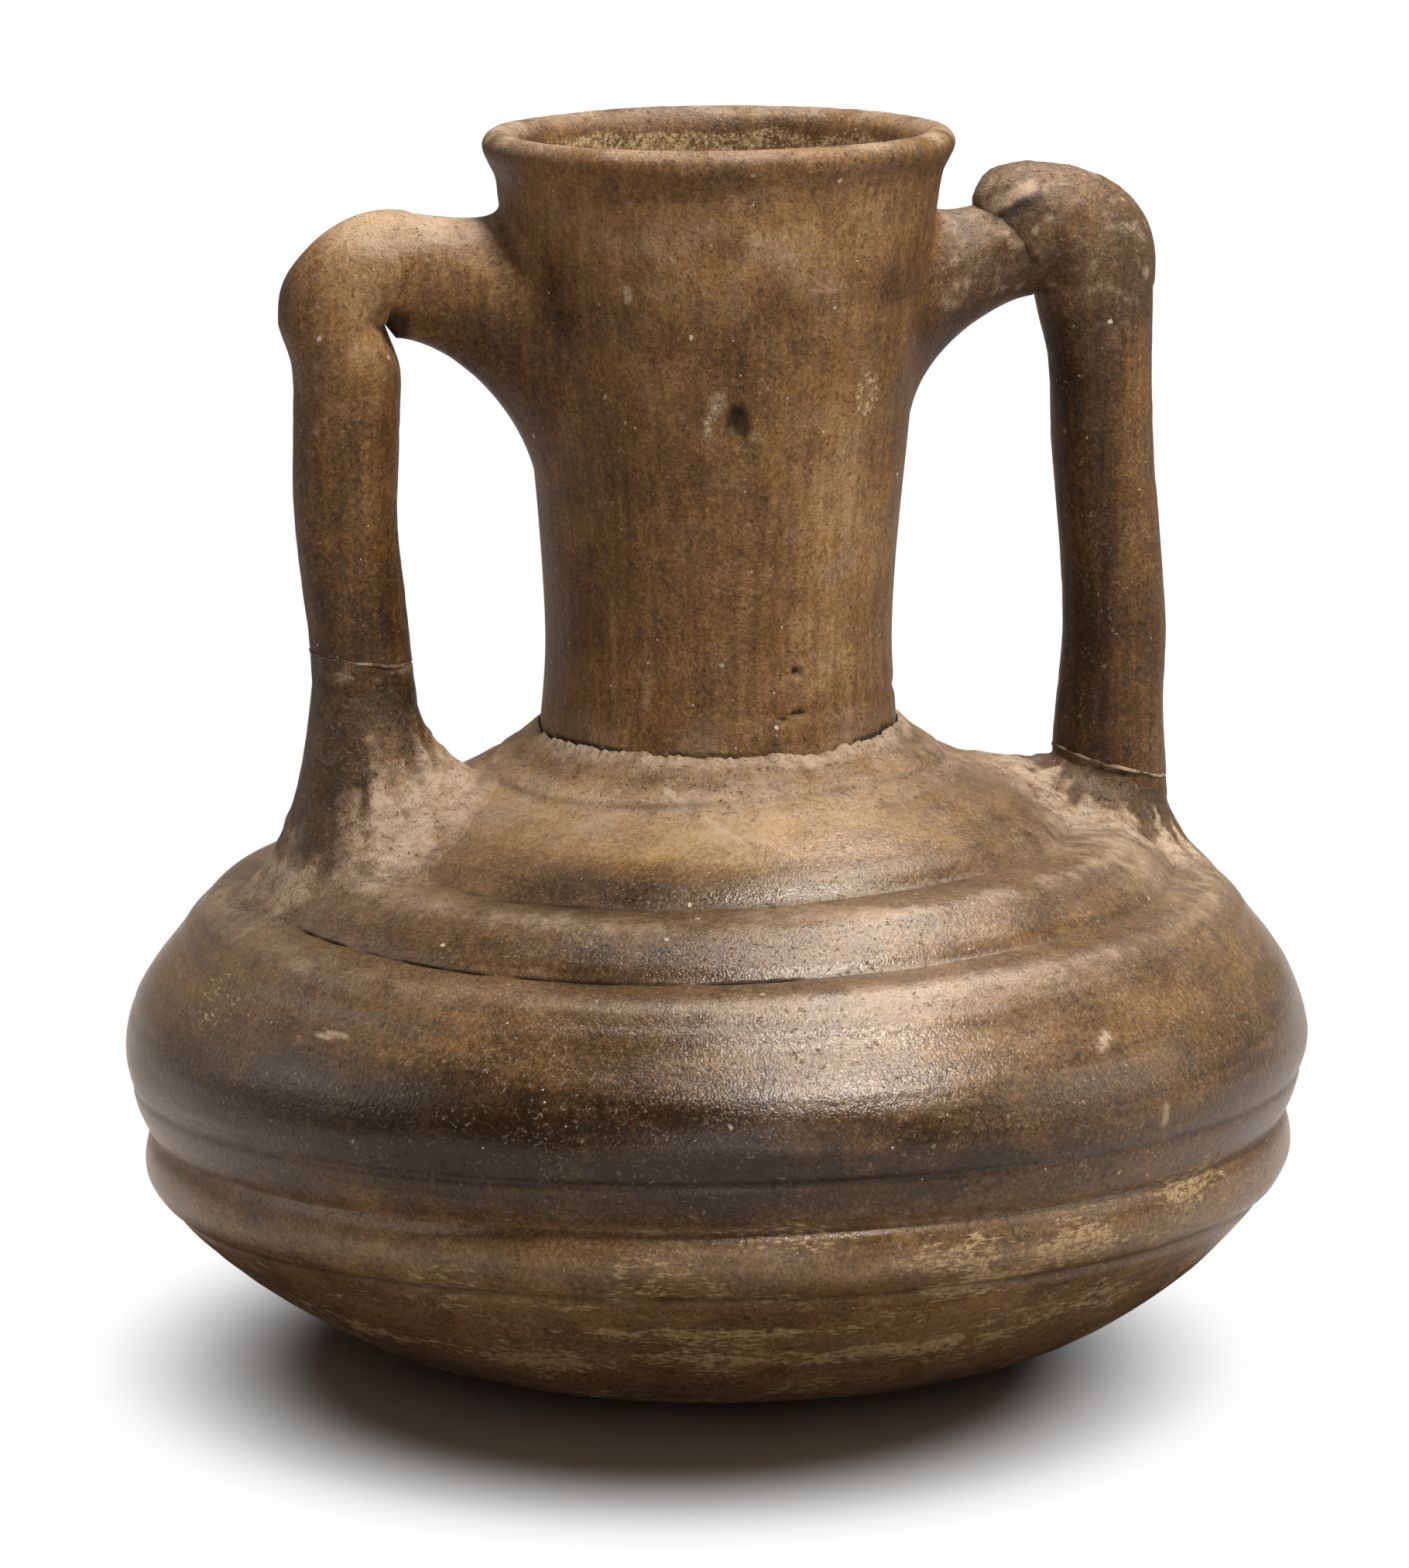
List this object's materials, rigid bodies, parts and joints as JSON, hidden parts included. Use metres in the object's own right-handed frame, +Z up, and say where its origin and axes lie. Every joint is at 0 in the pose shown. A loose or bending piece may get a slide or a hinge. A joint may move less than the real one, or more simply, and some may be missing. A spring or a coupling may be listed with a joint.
{
  "type": "two-handled ribbed flask",
  "caption": "Squat ribbed earthenware flask with a tall waisted neck, rolled lip and two tall elbow handles on the shoulder; holds and pours liquid.",
  "frame": {"origin": "centre of the flat rest face under the base", "axes": "+Z up along the neck, X through the two handles with the left handle at -X, -Y towards the viewer"},
  "size_m": [0.17, 0.17, 0.1715],
  "materials": {
    "body_clay": "dark brown burnished earthenware with pale dust on the ridges",
    "neck_clay": "brown smoothed earthenware with vertical drag marks",
    "handle_clay": "brown smoothed earthenware roll",
    "luting_clay": "paler wiped clay, matt and granular",
    "adhesive": "pale filled glue in an old break"
  },
  "bodies": {
    "root": {"base_bowl": "body_clay", "lower_coil": "body_clay", "under_belly_coil": "body_clay", "belly_coil": "body_clay", "shoulder_coil": "body_clay", "collar_coil": "body_clay", "neck_luting_bead": "luting_clay", "neck_tube": "neck_clay", "rim_coil": "neck_clay", "left_handle_arm": "handle_clay", "left_handle_post": "handle_clay", "left_handle_adhesive": "adhesive", "left_handle_stump": "handle_clay", "left_handle_root_wad": "luting_clay", "right_handle_arm": "handle_clay", "right_handle_post": "handle_clay", "right_handle_adhesive": "adhesive", "right_handle_stump": "handle_clay", "right_handle_root_wad": "luting_clay"}
  },
  "joints": []
}
